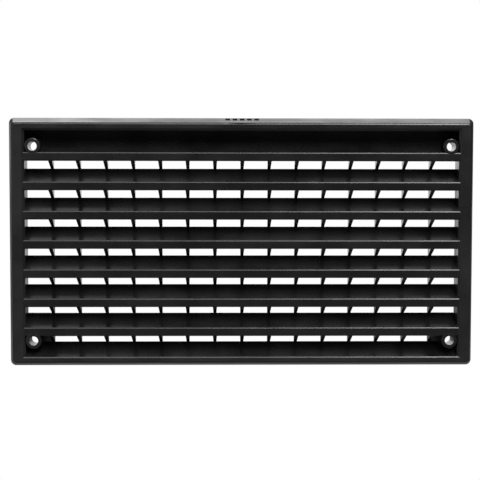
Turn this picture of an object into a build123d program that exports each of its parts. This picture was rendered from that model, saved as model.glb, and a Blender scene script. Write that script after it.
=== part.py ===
"""Louvred air grille: a flared wall frame, seven fixed weather louvres and the ribs behind them.

Millimetres. X runs to the right, Z up, and the grille faces -Y. The origin is the centre of the
four fixing holes on the plane of the wall (Y = 0), so the whole grille lies at Y <= 0.
"""
import os
from math import sqrt

from build123d import *

os.makedirs("parts", exist_ok=True)

# ---------------------------------------------------------------- driving dimensions
REAR_WIDTH = 258.2  # outline against the wall
REAR_HEIGHT = 138.0
OUTLINE_Z = 0.3  # middle of the outline, a little above the middle of the fixing holes
DEPTH = 12.0  # from the wall to the front face
FLARE = 3.1  # how far each outer wall leans out on its way back
REAR_CORNER_R = 3.0
FRONT_CORNER_R = 2.0
FRONT_EDGE_R = 1.4

OUTER_WALL = 2.0
FRONT_WALL = 2.2
INNER_WALL = 1.8
INNER_BEVEL = 1.3  # bevel round the top and sides of the mouth
SILL_BEVEL = 0.5  # the lower edge of the mouth is nearly sharp

OPENING_HALF_WIDTH = 119.1
OPENING_TOP = 62.1

LOUVRE_COUNT = 7
LOUVRE_PITCH = 16.05
TOP_LOUVRE_Z = 50.0  # front top edge of the first louvre
NOSE_Y = -11.6  # plane of the louvre noses, just behind the front face
NOSE_HEIGHT = 4.6
NOSE_THICKNESS = 1.8
NOSE_TOP_R = 1.0
NOSE_BOTTOM_R = 0.8
PLATE_REAR_Y = -1.8
PLATE_RISE = 7.25
PLATE_THICKNESS = 2.0  # measured upright
PLATE_DIP = 0.8  # how far the plate sags below its own chord

BAY = 15.0
RIB_COUNT = 15
RIB_FRONT = 2.3  # the ribs thin towards the wall, so that they leave the mould
RIB_REAR = 1.6

TOP_PANEL_WALL = 1.8  # the top panel leans forward at 45 degrees from the first louvre's back edge

BOSS_X = 114.65
BOSS_Z = 53.45
BOSS_R = 4.55
BOSS_EDGE_R = 0.8
BORE_R = 2.5

MARK_COUNT = 5  # row of plain slots along the back edge of the top
MARK_PITCH = 4.0
MARK_WIDTH = 2.6
MARK_FLOOR_Z = 67.8
MARK_REAR_Y = -0.9
MARK_REACH = 5.0

# ---------------------------------------------------------------- worked-out places
SILL_Z = TOP_LOUVRE_Z - LOUVRE_COUNT * LOUVRE_PITCH  # also the lower edge of the opening
SILL_FRONT_Y = -DEPTH + SILL_BEVEL
HOLLOW_DEPTH = DEPTH - FRONT_WALL
HOLLOW_LEAN = FLARE * HOLLOW_DEPTH / DEPTH
FOOT_Z = OUTLINE_Z - REAR_HEIGHT / 2 + OUTER_WALL  # inside face of the bottom wall, at the back
BACK_STRIP = -PLATE_REAR_Y  # room between the louvres' back edges and the wall
LOUVRE_Z = [TOP_LOUVRE_Z - row * LOUVRE_PITCH for row in range(LOUVRE_COUNT)]
RIB_X = [(index - (RIB_COUNT - 1) / 2) * BAY for index in range(RIB_COUNT)]
FAR = 200.0  # larger than the grille, for cuts that run right out of it


def export(part, name):
    """Name a finished piece and write it as its own file."""
    part.label = name
    export_step(part, f"parts/{name}.step")


def plate_face(front_y, front_z):
    """End view of a louvre plate, which rises towards the wall and is hollow on top."""
    rear_z = front_z + PLATE_RISE
    run = PLATE_REAR_Y - front_y
    chord = sqrt(run**2 + PLATE_RISE**2)
    middle_y = front_y + run / 2 + PLATE_DIP * PLATE_RISE / chord
    middle_z = front_z + PLATE_RISE / 2 - PLATE_DIP * run / chord
    drop = PLATE_THICKNESS
    with BuildSketch() as face:
        with BuildLine():
            ThreePointArc((front_y, front_z), (middle_y, middle_z), (PLATE_REAR_Y, rear_z))
            Line((PLATE_REAR_Y, rear_z), (PLATE_REAR_Y, rear_z - drop))
            ThreePointArc(
                (PLATE_REAR_Y, rear_z - drop),
                (middle_y, middle_z - drop),
                (front_y, front_z - drop),
            )
            Line((front_y, front_z - drop), (front_y, front_z))
        make_face()
    return face.sketch


def louvre_face(front_z):
    """End view of a whole louvre: the sloping plate and the upright nose under its front edge."""
    with BuildSketch() as face:
        add(plate_face(NOSE_Y, front_z))
        with Locations((NOSE_Y, front_z - NOSE_HEIGHT)):
            Rectangle(NOSE_THICKNESS, NOSE_HEIGHT - PLATE_THICKNESS / 2, align=(Align.MIN, Align.MIN))
        fillet(face.vertices().group_by(Axis.X)[0].sort_by(Axis.Y)[-1], NOSE_TOP_R)
        fillet(face.vertices().group_by(Axis.Y)[0], NOSE_BOTTOM_R)
    return face.sketch


def boss_blank(x, z):
    """Solid boss before it is bored, from the wall to the plane of the noses."""
    with BuildPart() as blank:
        with BuildSketch(Plane.XZ):
            with Locations((x, z)):
                Circle(BOSS_R)
        extrude(amount=-NOSE_Y)
        fillet(blank.edges().sort_by(Axis.Y)[0], BOSS_EDGE_R)
    return blank.part


# ---------------------------------------------------------------- frame
# The space behind the front wall, with the inner walls of the two sides and the top left standing.
with BuildPart() as rear_hollow:
    for depth, margin in ((0, OUTER_WALL), (HOLLOW_DEPTH, OUTER_WALL + HOLLOW_LEAN)):
        with BuildSketch(Plane.XZ.offset(depth)):
            with Locations((0, OUTLINE_Z)):
                Rectangle(REAR_WIDTH - 2 * margin, REAR_HEIGHT - 2 * margin)
    loft(ruled=True)
    with BuildSketch(Plane.XZ):
        with Locations((0, OPENING_TOP + INNER_WALL)):
            Rectangle(2 * (OPENING_HALF_WIDTH + INNER_WALL), FAR, align=(Align.CENTER, Align.MAX))
        with Locations((0, OPENING_TOP)):
            Rectangle(2 * OPENING_HALF_WIDTH, FAR, align=(Align.CENTER, Align.MAX), mode=Mode.SUBTRACT)
    extrude(amount=DEPTH, mode=Mode.SUBTRACT)

with BuildPart() as frame:
    for depth, margin, corner_r in ((0, 0, REAR_CORNER_R), (DEPTH, FLARE, FRONT_CORNER_R)):
        with BuildSketch(Plane.XZ.offset(depth)):
            with Locations((0, OUTLINE_Z)):
                RectangleRounded(REAR_WIDTH - 2 * margin, REAR_HEIGHT - 2 * margin, corner_r)
    loft(ruled=True)
    fillet(frame.faces().sort_by(Axis.Y)[0].edges(), FRONT_EDGE_R)
    add(rear_hollow.part, mode=Mode.SUBTRACT)
    with BuildSketch(Plane.XZ):
        with Locations((0, OPENING_TOP)):
            Rectangle(2 * OPENING_HALF_WIDTH, OPENING_TOP - SILL_Z, align=(Align.CENTER, Align.MAX))
    extrude(amount=DEPTH, mode=Mode.SUBTRACT)
    mouth = frame.faces().sort_by(Axis.Y)[0].inner_wires()[0]
    chamfer(mouth.edges().sort_by(Axis.Z)[1:], INNER_BEVEL)
    mouth = frame.faces().sort_by(Axis.Y)[0].inner_wires()[0]
    chamfer(mouth.edges().sort_by(Axis.Z)[0], SILL_BEVEL)
    with BuildSketch(Plane.XY.offset(MARK_FLOOR_Z)):
        with Locations((0, MARK_REAR_Y)):
            with GridLocations(MARK_PITCH, 0, MARK_COUNT, 1):
                Rectangle(MARK_WIDTH, MARK_REACH, align=(Align.CENTER, Align.MAX))
    extrude(amount=REAR_HEIGHT / 2, mode=Mode.SUBTRACT)
export(frame.part, "frame")

# ---------------------------------------------------------------- louvres and sill
boss_blanks = {
    "top_left": boss_blank(-BOSS_X, BOSS_Z),
    "top_right": boss_blank(BOSS_X, BOSS_Z),
    "bottom_left": boss_blank(-BOSS_X, -BOSS_Z),
    "bottom_right": boss_blank(BOSS_X, -BOSS_Z),
}
louvre_faces = [louvre_face(z) for z in LOUVRE_Z]
sill_face = plate_face(SILL_FRONT_Y, SILL_Z)

for number, face in enumerate(louvre_faces, start=1):
    with BuildPart() as louvre:
        with BuildSketch(Plane.YZ):
            add(face)
        extrude(amount=OPENING_HALF_WIDTH + INNER_BEVEL, both=True)
        add(frame.part, mode=Mode.SUBTRACT)
        for blank in boss_blanks.values():
            add(blank, mode=Mode.SUBTRACT)
        # A boss cuts a crumb off each end of the first louvre, and the panel behind covers its place.
        add(louvre.solids().sort_by(SortBy.VOLUME)[-1], mode=Mode.REPLACE)
    export(louvre.part, f"louvre_blade_{number}")

with BuildPart() as sill:
    with BuildSketch(Plane.YZ):
        add(sill_face)
    extrude(amount=OPENING_HALF_WIDTH, both=True)
    add(frame.part, mode=Mode.SUBTRACT)
    for blank in boss_blanks.values():
        add(blank, mode=Mode.SUBTRACT)
export(sill.part, "sill_blade")

# ---------------------------------------------------------------- divider ribs
# Each rib is an upright comb: it fills the space under every louvre, its front edge slants back
# from the nose above to the back edge of the plate below, and it carries the sill at its foot.
PLATE_TOP = TOP_LOUVRE_Z + PLATE_RISE
RIB_TOP = PLATE_TOP - PLATE_THICKNESS
RIB_FRONT_Y = NOSE_Y + NOSE_THICKNESS / 2

with BuildSketch(Plane.YZ) as comb:
    for z in LOUVRE_Z:
        with BuildLine():
            Polyline(
                (RIB_FRONT_Y, z - NOSE_HEIGHT),
                (PLATE_REAR_Y, z - LOUVRE_PITCH + PLATE_RISE),
                (0, z - LOUVRE_PITCH + PLATE_RISE - PLATE_THICKNESS),
                (0, z + PLATE_RISE - PLATE_THICKNESS),
                (PLATE_REAR_Y, z + PLATE_RISE - PLATE_THICKNESS),
                (RIB_FRONT_Y, z - PLATE_THICKNESS / 2),
                close=True,
            )
        make_face()
    with BuildLine():
        Polyline(
            (0, RIB_TOP),
            (PLATE_REAR_Y, RIB_TOP),
            (PLATE_REAR_Y, SILL_Z + PLATE_RISE - PLATE_THICKNESS),
            (-HOLLOW_DEPTH, SILL_Z - PLATE_THICKNESS / 2),
            (-HOLLOW_DEPTH, FOOT_Z + HOLLOW_LEAN),
            (0, FOOT_Z),
            close=True,
        )
    make_face()
    for face in louvre_faces:
        add(face, mode=Mode.SUBTRACT)
    add(sill_face, mode=Mode.SUBTRACT)


def divider_rib(x):
    """One comb at x, thinner at the wall than at the front."""
    with BuildPart() as rib:
        with BuildSketch(Plane.YZ.offset(x)):
            add(comb.sketch_local)
        extrude(amount=RIB_FRONT / 2, both=True)
        with BuildSketch(Plane.XY.offset(-REAR_HEIGHT)):
            with BuildLine():
                Polyline(
                    (x - RIB_FRONT / 2, NOSE_Y),
                    (x + RIB_FRONT / 2, NOSE_Y),
                    (x + RIB_REAR / 2, 0),
                    (x - RIB_REAR / 2, 0),
                    close=True,
                )
            make_face()
        extrude(amount=2 * REAR_HEIGHT, mode=Mode.INTERSECT)
        add(frame.part, mode=Mode.SUBTRACT)
    return rib.part


ribs = [divider_rib(x) for x in RIB_X]
for number, rib in enumerate(ribs, start=1):
    export(rib, f"divider_rib_{number:02d}")

# ---------------------------------------------------------------- closing panels
lean = OPENING_TOP - PLATE_TOP  # as far forward as it rises
step = TOP_PANEL_WALL * sqrt(2)  # the wall's thickness measured level
with BuildPart() as top_panel:
    with BuildSketch(Plane.YZ):
        with BuildLine():
            Polyline(
                (PLATE_REAR_Y, RIB_TOP),
                (PLATE_REAR_Y, PLATE_TOP),
                (PLATE_REAR_Y - lean, OPENING_TOP),
                (PLATE_REAR_Y - lean + step, OPENING_TOP),
                (0, PLATE_TOP + step - BACK_STRIP),
                (0, RIB_TOP),
                close=True,
            )
        make_face()
    extrude(amount=OPENING_HALF_WIDTH, both=True)
    for blank in boss_blanks.values():
        add(blank, mode=Mode.SUBTRACT)
export(top_panel.part, "top_back_panel")

corner_top = LOUVRE_Z[-1] + PLATE_RISE
for side, name, rib in ((-1, "left", ribs[0]), (1, "right", ribs[-1])):
    with BuildPart() as corner_panel:
        with BuildSketch(Plane.XZ):
            with Locations((side * (RIB_X[-1] + OPENING_HALF_WIDTH) / 2, corner_top)):
                Rectangle(
                    OPENING_HALF_WIDTH - RIB_X[-1],
                    corner_top - FOOT_Z,
                    align=(Align.CENTER, Align.MAX),
                )
        extrude(amount=BACK_STRIP)
        add(rib, mode=Mode.SUBTRACT)
        add(frame.part, mode=Mode.SUBTRACT)
        for blank in boss_blanks.values():
            add(blank, mode=Mode.SUBTRACT)
    export(corner_panel.part, f"corner_panel_{name}")

# ---------------------------------------------------------------- screw bosses
for name, blank in boss_blanks.items():
    side = 1 if "right" in name else -1
    level = 1 if "top" in name else -1
    with BuildPart() as boss:
        add(blank)
        with BuildSketch(Plane.XZ):
            with Locations((side * BOSS_X, level * BOSS_Z)):
                Circle(BORE_R)
        extrude(amount=DEPTH, mode=Mode.SUBTRACT)
        add(frame.part, mode=Mode.SUBTRACT)
    export(boss.part, f"screw_boss_{name}")
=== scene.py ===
"""Looks for the louvred air grille: satin black moulded plastic in a white photo studio."""
import math

import bpy
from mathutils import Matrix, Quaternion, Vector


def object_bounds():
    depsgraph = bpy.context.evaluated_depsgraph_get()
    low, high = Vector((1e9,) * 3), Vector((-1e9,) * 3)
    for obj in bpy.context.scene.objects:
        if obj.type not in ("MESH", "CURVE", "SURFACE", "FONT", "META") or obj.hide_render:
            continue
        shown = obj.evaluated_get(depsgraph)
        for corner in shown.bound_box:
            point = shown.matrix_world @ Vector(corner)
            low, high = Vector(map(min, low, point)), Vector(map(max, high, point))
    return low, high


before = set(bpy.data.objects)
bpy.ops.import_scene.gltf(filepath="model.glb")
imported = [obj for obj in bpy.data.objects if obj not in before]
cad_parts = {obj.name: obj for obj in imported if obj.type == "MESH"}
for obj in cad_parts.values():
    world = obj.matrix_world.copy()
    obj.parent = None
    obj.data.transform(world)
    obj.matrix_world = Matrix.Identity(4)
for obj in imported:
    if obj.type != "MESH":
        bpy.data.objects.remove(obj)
cad_low, cad_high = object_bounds()

WHITE = (1, 1, 1, 1)
BLACK = (0, 0, 0, 1)

# ---------------------------------------------------------------- view
# The lens is level with the upper part of the grille, a little left of its middle, and looks
# slightly down and to the right.
CAMERA_LEFT = 0.01436
CAMERA_ABOVE = 0.04005
CAMERA_AWAY = 0.65705  # from the front face
LOOK_RIGHT = 0.0187  # radians
LOOK_DOWN = 0.0555
LOOK_ROLL = 0.00146
SHIFT_X = 0.0031  # of the picture's width
SHIFT_Z = -0.0061
LENS_MM = 90.0
SENSOR_MM = 36.0
CLIP_START = 0.01


def make_camera():
    """Place the studio camera from the grille's own box and point it."""
    data = bpy.data.cameras.new("studio_camera")
    data.lens = LENS_MM
    data.sensor_width = SENSOR_MM
    data.shift_x = SHIFT_X
    data.shift_y = SHIFT_Z
    data.clip_start = CLIP_START
    camera = bpy.data.objects.new("studio_camera", data)
    middle = (cad_low + cad_high) / 2
    camera.location = (middle.x - CAMERA_LEFT, cad_low.y - CAMERA_AWAY, middle.z + CAMERA_ABOVE)
    camera.rotation_mode = "QUATERNION"
    camera.rotation_quaternion = (
        Quaternion((0, 0, 1), -LOOK_RIGHT)
        @ Quaternion((1, 0, 0), math.pi / 2 - LOOK_DOWN)
        @ Quaternion((0, 0, 1), LOOK_ROLL)
    )
    bpy.context.scene.collection.objects.link(camera)
    bpy.context.scene.camera = camera


# ---------------------------------------------------------------- node helpers
def math_node(tree, operation, first, second):
    """A Math node fed by sockets or plain numbers."""
    node = tree.nodes.new("ShaderNodeMath")
    node.operation = operation
    for socket, value in zip(node.inputs, (first, second)):
        if isinstance(value, (int, float)):
            socket.default_value = value
        else:
            tree.links.new(value, socket)
    return node.outputs[0]


def ramp(tree, value, low, high, low_to=0.0, high_to=1.0):
    """Smooth step of a value from low_to at low to high_to at high."""
    node = tree.nodes.new("ShaderNodeMapRange")
    node.interpolation_type = "SMOOTHSTEP"
    node.inputs["From Min"].default_value = low
    node.inputs["From Max"].default_value = high
    node.inputs["To Min"].default_value = low_to
    node.inputs["To Max"].default_value = high_to
    tree.links.new(value, node.inputs["Value"])
    return node.outputs["Result"]


def window(tree, value, low, high, soft):
    """1 between low and high and 0 outside, each edge faded over soft on either side of it."""
    rise = ramp(tree, value, low - soft, low + soft)
    fall = ramp(tree, value, high - soft, high + soft, 1.0, 0.0)
    return math_node(tree, "MULTIPLY", rise, fall)


def split_xyz(tree, vector):
    """The three parts of a vector socket."""
    node = tree.nodes.new("ShaderNodeSeparateXYZ")
    tree.links.new(vector, node.inputs[0])
    return node.outputs


def blend(tree, factor, low, high):
    """Colour mix of low (a plain colour or a socket) into the plain colour high."""
    node = tree.nodes.new("ShaderNodeMix")
    node.data_type = "RGBA"
    if isinstance(low, tuple):
        node.inputs["A"].default_value = low
    else:
        tree.links.new(low, node.inputs["A"])
    node.inputs["B"].default_value = high
    tree.links.new(factor, node.inputs["Factor"])
    return node.outputs["Result"]


# ---------------------------------------------------------------- studio
AMBIENT = 0.06  # strength of the dim room between the light panels
SOFT_ANGLE = 3.0  # degrees of fade on either side of a panel's edge
SOFT_ACROSS = 0.03  # the same for the direction's x

# Light panels far away on the sky. Each lies between two values of its direction's x (-1 left,
# 1 right) and two angles about the X axis (0 behind the grille, 90 overhead, 180 behind the lens).
# A panel that runs from -5 or to 185 reaches the horizon before it fades.
PANELS = {
    "backdrop": (-0.27, 0.25, -5, 14, 1.6),
    "backdrop_glow": (-0.30, 0.30, 14, 36, 1.3),
    "backdrop_glow_left": (-0.30, -0.08, 14, 36, 0.75),
    "side_left": (-1.5, -0.34, -5, 14, 0.35),
    "rear_left": (-0.35, -0.08, 36, 64, 0.6),
    "rear_right": (0.12, 0.35, 36, 64, 0.5),
    "key_right": (0.12, 0.32, 92, 148, 13.0),
    "top_left": (-0.30, -0.03, 90, 130, 3.2),
    "front_middle": (-0.08, 0.12, 118, 148, 3.0),
    "lens_left": (-1.5, -0.15, 148, 185, 0.6),
    "lens_right": (0.15, 0.45, 148, 185, 0.3),
}

FLOOR_SIZE = 12.0
FLOOR_GAP = 0.0002
FLOOR_GLOW = 0.24  # what the plastic sees of the white floor close to it
FAR_FLOOR_GLOW = 0.18
GLOW_FADES = (0.10, 0.30)  # distance from the middle over which it falls from one to the other
REAR_FLOOR_GLOW = 0.8  # added well behind the grille
REAR_STARTS = (0.15, 0.60)
REAR_ACROSS = (-0.24, 0.24)  # of the distance, so that the outer sides don't reflect it


def make_sky():
    """Plain white to look at; the plastic reflects the light panels and a dim room."""
    world = bpy.data.worlds.new("studio")
    world.use_nodes = True
    tree = world.node_tree
    tree.nodes.clear()
    x, y, z = split_xyz(tree, tree.nodes.new("ShaderNodeTexCoord").outputs["Generated"])
    radians = math_node(tree, "ARCTAN2", z, y)
    angle = math_node(tree, "MULTIPLY", radians, math.degrees(1))
    total = AMBIENT
    for left, right, low, high, strength in PANELS.values():
        patch = math_node(
            tree, "MULTIPLY",
            window(tree, x, left, right, SOFT_ACROSS),
            window(tree, angle, low, high, SOFT_ANGLE),
        )
        total = math_node(tree, "ADD", math_node(tree, "MULTIPLY", patch, strength), total)
    light = tree.nodes.new("ShaderNodeBackground")
    tree.links.new(total, light.inputs["Strength"])
    white = tree.nodes.new("ShaderNodeBackground")
    for node in (light, white):
        node.inputs["Color"].default_value = WHITE
    white.inputs["Strength"].default_value = 1.0
    both = tree.nodes.new("ShaderNodeMixShader")
    seen = tree.nodes.new("ShaderNodeLightPath").outputs["Is Camera Ray"]
    tree.links.new(seen, both.inputs["Fac"])
    tree.links.new(light.outputs[0], both.inputs[1])
    tree.links.new(white.outputs[0], both.inputs[2])
    out = tree.nodes.new("ShaderNodeOutputWorld")
    tree.links.new(both.outputs[0], out.inputs["Surface"])
    bpy.context.scene.world = world


def floor_glow(tree):
    """What the floor gives the plastic: dim all round, with a bright strip behind the grille."""
    place = tree.nodes.new("ShaderNodeTexCoord").outputs["Object"]
    reach = tree.nodes.new("ShaderNodeVectorMath")
    reach.operation = "LENGTH"
    tree.links.new(place, reach.inputs[0])
    distance = reach.outputs["Value"]
    x, y, _ = split_xyz(tree, place)
    near = ramp(tree, distance, *GLOW_FADES, FLOOR_GLOW, FAR_FLOOR_GLOW)
    rear = ramp(tree, y, *REAR_STARTS, 0.0, REAR_FLOOR_GLOW)
    across = math_node(tree, "DIVIDE", x, distance)
    strip = math_node(tree, "MULTIPLY", rear, window(tree, across, *REAR_ACROSS, SOFT_ACROSS))
    return math_node(tree, "ADD", near, strip)


def make_floor():
    """A floor that is plain white to look at and throws only a little light up on the plastic."""
    half = FLOOR_SIZE / 2
    height = cad_low.z - FLOOR_GAP
    mesh = bpy.data.meshes.new("floor")
    corners = [(x * half, y * half, height) for x, y in ((-1, -1), (1, -1), (1, 1), (-1, 1))]
    mesh.from_pydata(corners, [], [(0, 1, 2, 3)])
    floor = bpy.data.objects.new("floor", mesh)
    bpy.context.scene.collection.objects.link(floor)
    paint = bpy.data.materials.new("floor_paint")
    paint.use_nodes = True
    tree = paint.node_tree
    shader = tree.nodes["Principled BSDF"]
    shader.inputs["Base Color"].default_value = BLACK
    shader.inputs["Roughness"].default_value = 1.0
    shader.inputs["Specular IOR Level"].default_value = 0.0
    shader.inputs["Emission Color"].default_value = WHITE
    seen = tree.nodes.new("ShaderNodeLightPath").outputs["Is Camera Ray"]
    strength = math_node(tree, "MAXIMUM", floor_glow(tree), seen)
    tree.links.new(strength, shader.inputs["Emission Strength"])
    mesh.materials.append(paint)


# ---------------------------------------------------------------- plastic
PLASTICS = {  # base grey, roughness, flow streaks per metre along X, Y and Z
    "frame_plastic": (0.013, 0.28, (6, 90, 90)),
    # painted shade: the blades are the frame's plastic in a darker grey, standing in for the shade they
    # lie in between one another
    "blade_plastic": (0.008, 0.26, (5, 160, 160)),
}
IOR = 1.5
CREASE_DEGREES = 28  # faces that meet at less than this are shaded as one curve

GRAIN_PER_M = 2600.0  # fine moulded grain
GRAIN_DETAIL = 3.0
CLOUD_PER_M = 45.0  # broad clouds of handling
CLOUD_DETAIL = 4.0
FLOW_DETAIL = 3.0
SCUFF_STRETCH = (900, 900, 140)  # per metre, so that scuffs are short and upright
SCUFF_DETAIL = 5.0

# An edge is where the rounded normal leaves the face's own: cosines at no edge and at full edge.
EDGE_RADIUS = 0.00045
EDGE_SAMPLES = 4
EDGE_COSINES = (0.99, 0.82)

# Colours are multiples of a plastic's own grey. Spreads are the noise values that they run over.
CLOUD_DARK = (0.85, 0.85, 0.88)
CLOUD_LIGHT = (1.5, 1.5, 1.52)
CLOUD_SPREAD = (0.35, 0.68)
WORN = (3.0, 3.0, 3.0)
WORN_SPREAD = (0.35, 0.6)
WORN_AMOUNT = (0.2, 0.8)

# Roughness added to a plastic's own, at the low and high ends of each noise.
ROUGH_SPREAD = (0.3, 0.7)
FLOW_ROUGH = (-0.05, 0.06)
CLOUD_ROUGH = (-0.04, 0.05)
SCUFF_SPREAD = (0.62, 0.75)
SCUFF_ROUGH = (0.0, 0.10)

BUMP_STRENGTH = 0.35
BUMP_HEIGHT = 0.00002
FLOW_BUMP = 0.6  # next to the grain


def noise(tree, place, detail, scale=1.0, stretch=(1, 1, 1)):
    """Noise over the object's own coordinates, either evenly scaled or stretched along its axes."""
    mapping = tree.nodes.new("ShaderNodeMapping")
    mapping.inputs["Scale"].default_value = stretch
    tree.links.new(place, mapping.inputs["Vector"])
    node = tree.nodes.new("ShaderNodeTexNoise")
    node.inputs["Scale"].default_value = scale
    node.inputs["Detail"].default_value = detail
    tree.links.new(mapping.outputs["Vector"], node.inputs["Vector"])
    return node.outputs["Fac"]


def edge_mask(tree):
    """1 along the outer and inner edges of a piece and 0 on its flat faces."""
    bevel = tree.nodes.new("ShaderNodeBevel")
    bevel.samples = EDGE_SAMPLES
    bevel.inputs["Radius"].default_value = EDGE_RADIUS
    agree = tree.nodes.new("ShaderNodeVectorMath")
    agree.operation = "DOT_PRODUCT"
    tree.links.new(bevel.outputs[0], agree.inputs[0])
    tree.links.new(tree.nodes.new("ShaderNodeNewGeometry").outputs["Normal"], agree.inputs[1])
    return ramp(tree, agree.outputs["Value"], *EDGE_COSINES)


def tinted(grey, tint):
    """A plastic's own grey times a tint, as a shader colour."""
    return tuple(grey * part for part in tint) + (1,)


def make_plastic(name, grey, rough, streak):
    """Satin black moulded plastic: fine grain, cloudy gloss, flow streaks and rubbed edges."""
    material = bpy.data.materials.new(name)
    material.use_nodes = True
    tree = material.node_tree
    shader = tree.nodes["Principled BSDF"]
    shader.inputs["IOR"].default_value = IOR
    place = tree.nodes.new("ShaderNodeTexCoord").outputs["Object"]
    grain = noise(tree, place, GRAIN_DETAIL, scale=GRAIN_PER_M)
    cloud = noise(tree, place, CLOUD_DETAIL, scale=CLOUD_PER_M)
    flow = noise(tree, place, FLOW_DETAIL, stretch=streak)
    scuff = noise(tree, place, SCUFF_DETAIL, stretch=SCUFF_STRETCH)

    # near-black, lighter in faint clouds, greyer where the edges are rubbed
    clouds = ramp(tree, cloud, *CLOUD_SPREAD)
    colour = blend(tree, clouds, tinted(grey, CLOUD_DARK), tinted(grey, CLOUD_LIGHT))
    rubbed = math_node(tree, "MULTIPLY", edge_mask(tree), ramp(tree, scuff, *WORN_SPREAD, *WORN_AMOUNT))
    colour = blend(tree, rubbed, colour, tinted(grey, WORN))
    tree.links.new(colour, shader.inputs["Base Color"])

    # roughness: streaks of flow, clouds of handling and scuffs
    low, high = FLOW_ROUGH
    roughness = math_node(
        tree, "ADD",
        ramp(tree, flow, *ROUGH_SPREAD, rough + low, rough + high),
        ramp(tree, cloud, *ROUGH_SPREAD, *CLOUD_ROUGH),
    )
    roughness = math_node(tree, "ADD", roughness, ramp(tree, scuff, *SCUFF_SPREAD, *SCUFF_ROUGH))
    tree.links.new(roughness, shader.inputs["Roughness"])

    bump = tree.nodes.new("ShaderNodeBump")
    bump.inputs["Strength"].default_value = BUMP_STRENGTH
    bump.inputs["Distance"].default_value = BUMP_HEIGHT
    height = math_node(tree, "ADD", grain, math_node(tree, "MULTIPLY", flow, FLOW_BUMP))
    tree.links.new(height, bump.inputs["Height"])
    tree.links.new(bump.outputs["Normal"], shader.inputs["Normal"])
    return material


def dress(node, material):
    """Give a CAD node its plastic and smooth its curved faces without touching its shape."""
    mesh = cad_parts[node].data
    mesh.materials.clear()
    mesh.materials.append(material)
    mesh.shade_smooth()
    mesh.set_sharp_from_angle(angle=math.radians(CREASE_DEGREES))


# ---------------------------------------------------------------- scene
make_camera()
make_sky()
make_floor()

plastics = {name: make_plastic(name, *values) for name, values in PLASTICS.items()}
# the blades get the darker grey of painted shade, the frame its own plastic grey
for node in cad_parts:
    dress(node, plastics["frame_plastic" if node == "frame" else "blade_plastic"])

bpy.context.scene.view_settings.view_transform = "Standard"
